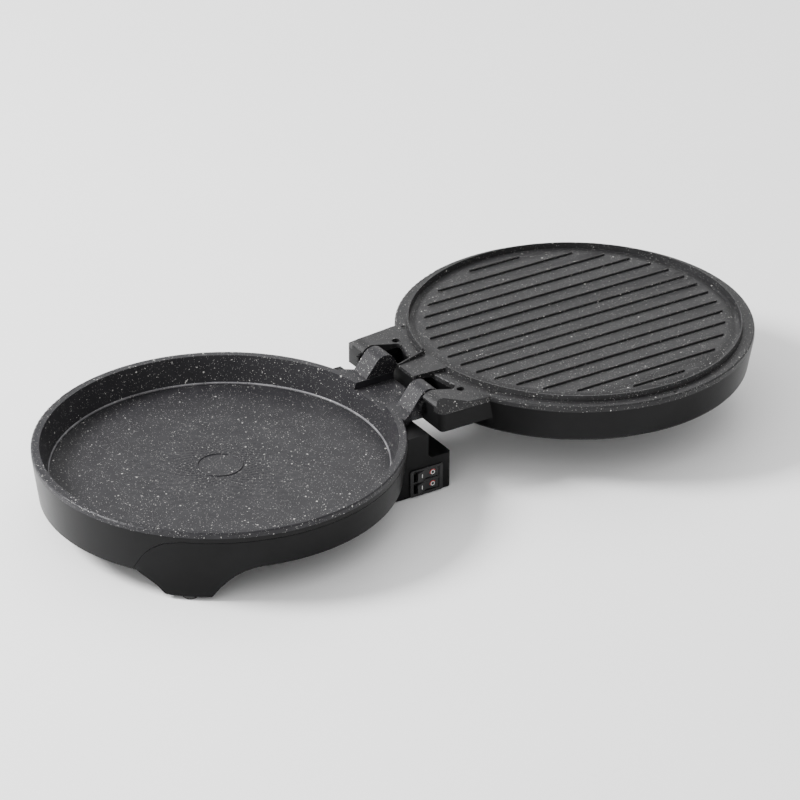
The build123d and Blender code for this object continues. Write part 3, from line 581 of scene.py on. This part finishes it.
def turnedPiece(name, body, material, centre, profile, segments):
    # the profile is a closed loop of (radius, height)
    work = bmesh.new()
    rows = []
    for step in range(segments):
        angle = 2 * pi * step / segments
        rows.append([
            work.verts.new(
                (centre[0] + radius * cos(angle), centre[1] + radius * sin(angle), height))
            for radius, height in profile
        ])
    count = len(profile)
    for step in range(segments):
        first, second = rows[step], rows[(step + 1) % segments]
        for i in range(count):
            j = (i + 1) % count
            work.faces.new((first[i], first[j], second[j], second[i]))
    bmesh.ops.recalc_face_normals(work, faces=work.faces)
    for face in work.faces:
        face.smooth = True
    placePiece(linkWork(name, work, material), body)


def arcPoints(centreR, centreZ, radius, fromAngle, toAngle, count):
    points = []
    for i in range(count + 1):
        angle = radians(fromAngle + (toAngle - fromAngle) * i / count)
        points.append((centreR + radius * cos(angle), centreZ + radius * sin(angle)))
    return points


# the ring pressed into the middle of the pan floor, and a soft edge where wall and floor meet,
# coloured pale as a painted highlight
floorRings = {
    "middleRing": {
        "material": stoneLower, "radius": 20.0 * mm, "tube": 1.0 * mm, "height": 43.35 * mm,
        "arc": (-10, 190, 10), "segments": 160},
    # the floor edge takes the pale coating, a painted highlight
    "floorEdge": {
        "material": stoneHighlightEdge, "radius": 151.0 * mm, "tube": 1.4 * mm, "height": 44.3 * mm,
        "arc": (-50, 250, 12), "segments": 256},
}
for name, values in floorRings.items():
    profile = arcPoints(values["radius"], values["height"], values["tube"], *values["arc"])
    turnedPiece(
        name, "lower", values["material"], panCentre, profile,
        values["segments"])

# small pockets on the lid's rim and a holed boss by each ear; pockets and holes are painted shade
# discs
pocket = {
    "places": ((-160.0, 186.0), (0.0, 347.4), (160.0, 187.0)), "radius": 1.7 * mm,
    "rise": 0.10 * mm, "depth": 0.2 * mm, "axisGap": 0.0001 * mm, "segments": 24,
}


def shadeDiscPiece(name, spot, radius, rise):
    # a flat dark disc a hair above the rim, open by a hair at its axis: painted shade for the recess
    top, low = lidZ + rise, lidZ - pocket["depth"]
    profile = [(pocket["axisGap"], top), (radius, top), (radius, low), (pocket["axisGap"], low)]
    turnedPiece(
        name, "lid", housingPlastic, spot, profile, pocket["segments"])


for number, (x, y) in enumerate(pocket["places"]):
    shadeDiscPiece("rimPocketShadeDisc%d" % number, (x * mm, y * mm), pocket["radius"], pocket["rise"])

earBoss = {
    "place": (74.0 * mm, 48.5 * mm), "inner": 1.6 * mm, "outer": 3.6 * mm, "rise": 0.25 * mm,
    "innerSlope": 0.25 * mm, "outerSlope": 0.6 * mm, "depth": 0.3 * mm, "segments": 40,
    "holeMargin": 0.1 * mm, "holeRise": 0.06 * mm,
}
for side, sideName in sides.items():
    spot = (side * earBoss["place"][0], earBoss["place"][1])
    top, low = lidZ + earBoss["rise"], lidZ - earBoss["depth"]
    profile = [
        (earBoss["inner"], low), (earBoss["inner"] + earBoss["innerSlope"], top),
        (earBoss["outer"] - earBoss["outerSlope"], top), (earBoss["outer"], low)]
    turnedPiece(
        "earBoss" + sideName, "lid", stoneLid, spot, profile,
        earBoss["segments"])
    # the hole in the boss is painted shade as well, a dark disc inside the ring
    shadeDiscPiece(
        "earBossHoleShadeDisc" + sideName, spot, earBoss["inner"] + earBoss["holeMargin"],
        earBoss["holeRise"])
print("rings, pockets and bosses made")

# rounded webs in the corners of the slots, beside the ear holes; sizes in millimetres
slotWeb = {
    "corner": (43.5, 21.5), "radius": 7.0, "outer": 51.5, "back": 31.0, "backSlope": 1.5,
    "thick": 4.2, "sunk": 0.02, "steps": 10, "edge": 0.4, "edgeAngle": 60,
}


def webOutline():
    centreX, centreY = slotWeb["corner"]
    outline = []
    for i in range(slotWeb["steps"] + 1):
        angle = radians(90 * i / slotWeb["steps"])
        outline.append(
            (centreX + slotWeb["radius"] * sin(angle), centreY + slotWeb["radius"] * cos(angle)))
    return outline + [
        (slotWeb["outer"], centreY), (slotWeb["outer"], slotWeb["back"]),
        (centreX, slotWeb["back"] - slotWeb["backSlope"])]


for side, sideName in sides.items():
    work = bmesh.new()
    top, low = (
        [work.verts.new((side * x * mm, y * mm, lidZ - slotWeb[depth] * mm))
         for x, y in webOutline()]
        for depth in ("sunk", "thick"))
    work.faces.new(top)
    work.faces.new(low[::-1])
    for i in range(len(top)):
        j = (i + 1) % len(top)
        work.faces.new((top[i], low[i], low[j], top[j]))
    bmesh.ops.recalc_face_normals(work, faces=work.faces)
    web = linkWork("slotWeb" + sideName, work, stoneLid)
    roundEdges(web, slotWeb["edge"] * mm, angle=slotWeb["edgeAngle"])
    placePiece(web, "lid")
print("slot webs made")

# stepped stop blocks beside the humps, on the lid; sizes in millimetres
stopBlock = {
    "inner": 50.7, "outer": 55.6, "front": -13.2, "back": -7.2, "low": 71.5, "middle": 78.2,
    "top": 80.2, "inset": 0.6, "setBack": 1.6, "overlap": 1.5, "edge": 0.4,
}


def addBox(work, low, high):
    made = bmesh.ops.create_cube(work, size=1)["verts"]
    for vert in made:
        vert.co = Vector([
            (low[i] + high[i]) / 2 * mm + vert.co[i] * (high[i] - low[i]) * mm
            for i in range(3)])


for side, sideName in sides.items():
    work = bmesh.new()
    lowX, highX = sorted((side * stopBlock["inner"], side * stopBlock["outer"]))
    inset, back = stopBlock["inset"], stopBlock["back"]
    addBox(work, (lowX, stopBlock["front"], stopBlock["low"]), (highX, back, stopBlock["middle"]))
    addBox(
        work, (lowX + inset, stopBlock["front"] + stopBlock["setBack"],
               stopBlock["middle"] - stopBlock["overlap"]),
        (highX - inset, back, stopBlock["top"]))
    bmesh.ops.recalc_face_normals(work, faces=work.faces)
    block = linkWork("stopBlock" + sideName, work, housingPlastic)
    roundEdges(block, stopBlock["edge"] * mm)
    placePiece(block, "lid")
print("stop blocks made")

# printed marks on the rockers, in millimetres: a bar on the one half, a ring with a red arc on
# the other; rayFrom is in metres, outside the rockers
marks = {
    "barHalf": (0.45, 1.7), "barSpot": -25.6, "ringSpot": -13.6, "ringRadius": 1.75,
    "ringWidth": 0.6, "ringArc": (0, 359.9, 28), "arcRadius": 2.75, "arcWidth": 0.5,
    "redArc": (-120, 60, 20), "lift": 0.09, "ink": 0.12, "rayFrom": 0.12,
    "rockers": {
        "upper_plate_rocker": ("upper_rocker", 20.5),
        "lower_plate_rocker": ("lower_rocker", 8.9)},
}


def stripOutline(points, width):
    # the two sides of a strip along the points (y, z)
    left, right = [], []
    for i, (y, z) in enumerate(points):
        before, after = points[max(i - 1, 0)], points[min(i + 1, len(points) - 1)]
        run = Vector((after[0] - before[0], after[1] - before[1])).normalized()
        left.append((y - run.y * width / 2, z + run.x * width / 2))
        right.append((y + run.y * width / 2, z - run.x * width / 2))
    return left, right


def roundPath(y, z, radius, arc):
    # as arcPoints, with the angles counted from the vertical
    return [(along, height) for height, along in arcPoints(z, y, radius, *arc)]


def markPiece(name, node, body, strips, material):
    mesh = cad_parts[node].data
    surface = BVHTree.FromPolygons(
        [vertex.co for vertex in mesh.vertices], [polygon.vertices for polygon in mesh.polygons])
    work = bmesh.new()
    for strip in strips:
        rows = []
        for side in strip:
            row = []
            for y, z in side:
                rayStart = Vector((marks["rayFrom"], y * mm, z * mm))
                spot, normal = surface.ray_cast(rayStart, Vector((-1, 0, 0)))[:2]
                row.append(work.verts.new(spot + normal * marks["lift"] * mm))
            rows.append(row)
        left, right = rows
        for i in range(len(left) - 1):
            work.faces.new((left[i], right[i], right[i + 1], left[i + 1]))
    for face in work.faces:
        if face.normal.x < 0:
            face.normal_flip()
    piece = linkWork(name, work, material)
    thick = piece.modifiers.new("inkThickness", "SOLIDIFY")
    thick.thickness = marks["ink"] * mm
    thick.offset = -1
    placePiece(piece, body)


for node, (body, z) in marks["rockers"].items():
    halfWidth, halfHeight = marks["barHalf"]
    barPath = [(marks["barSpot"], z + height) for height in (-halfHeight, 0, halfHeight)]
    ringPath = roundPath(marks["ringSpot"], z, marks["ringRadius"], marks["ringArc"])
    arcPath = roundPath(marks["ringSpot"], z, marks["arcRadius"], marks["redArc"])
    bar = stripOutline(barPath, 2 * halfWidth)
    ring = stripOutline(ringPath, marks["ringWidth"])
    markPiece(node + "Marks", node, body, [bar, ring], whiteInk)
    markPiece(node + "Arc", node, body, [stripOutline(arcPath, marks["arcWidth"])], redInk)
print("rocker marks made")

# lights as size, power and place, all aimed at one point
lights = {
    "keyLight": (1.1, 215, (-1.25, -2.1, 2.0)),
    "fillLight": (2.6, 14, (1.6, -2.6, 2.6)),
    "backLight": (1.8, 14, (-1.6, 1.6, 2.2)),
}
lightAim = Vector((0, 0, 0.05))
for name, (size, power, spot) in lights.items():
    lamp = bpy.data.lights.new(name, "AREA")
    lamp.shape = "DISK"
    lamp.size = size
    lamp.energy = power
    holder = linkNew(name, lamp)
    holder.location = spot
    holder.rotation_euler = (lightAim - Vector(spot)).to_track_quat("-Z", "Y").to_euler()

# a plain studio sky, brighter in one direction
sky = {"direction": (-0.53, -0.62, 0.45), "range": (-0.6, 0.9), "dark": 0.88, "bright": 1.50}
world = bpy.data.worlds.new("studio")
bpy.context.scene.world = world
world.use_nodes = True
skyTree = world.node_tree
background = skyTree.nodes["Background"]
skyCoords = skyTree.nodes.new("ShaderNodeTexCoord")
direction = placeNode(skyTree, "ShaderNodeVectorMath", {
    0: skyCoords.outputs["Generated"], 1: sky["direction"]}, operation="DOT_PRODUCT")
glow = placeNode(skyTree, "ShaderNodeMapRange", {
    "Value": direction.outputs["Value"], "From Min": sky["range"][0],
    "From Max": sky["range"][1], "To Min": sky["dark"], "To Max": sky["bright"]})
skyTree.links.new(glow.outputs["Result"], background.inputs["Strength"])
background.inputs["Color"].default_value = (1, 1, 1, 1)

# the pale floor
floor = {
    "half": 9.0, "roughness": 0.6, "specular": 0.2, "noiseScale": 3.0,
    "tones": ((0.90, 0.90, 0.90, 1), (0.93, 0.93, 0.93, 1)),
}
corners = [(x * floor["half"], y * floor["half"], 0) for x, y in ((-1, -1), (1, -1), (1, 1), (-1, 1))]
floorMesh = bpy.data.meshes.new("floorSheet")
floorMesh.from_pydata(corners, [], [(0, 1, 2, 3)])
floorSheet = linkNew("floorSheet", floorMesh)
floorMaterial, floorTree, floorShader, floorCoords = newMaterial(
    "paleFloor", floor["roughness"], specular=floor["specular"])
floorNoise = noise(floorTree, floorCoords, floor["noiseScale"])
floorTone = mixColour(floorTree, floorNoise, *floor["tones"])
floorTree.links.new(floorTone, floorShader.inputs["Base Color"])
floorMesh.materials.append(floorMaterial)
floorSheet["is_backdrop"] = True

camera = {
    "azimuth": 58.05, "elevation": 28.42, "distance": 3.6825, "lens": 185.93,
    "sensor": 36, "clipEnd": 50, "target": (0.0230, -0.0153, 0.0695),
}
azimuth, elevation = radians(camera["azimuth"]), radians(camera["elevation"])
back = Vector((sin(azimuth) * cos(elevation), -cos(azimuth) * cos(elevation), sin(elevation)))
right = Vector((cos(azimuth), sin(azimuth), 0))
up = back.cross(right)
lens = bpy.data.cameras.new("photoCamera")
lens.lens = camera["lens"]
lens.sensor_width = camera["sensor"]
lens.clip_end = camera["clipEnd"]
view = linkNew("photoCamera", lens)
turn = Matrix((right, up, back)).transposed().to_4x4()
viewSpot = Vector(camera["target"]) + back * camera["distance"]
view.matrix_world = Matrix.Translation(viewSpot) @ turn
bpy.context.scene.camera = view
print("light and camera set")

low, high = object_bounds()
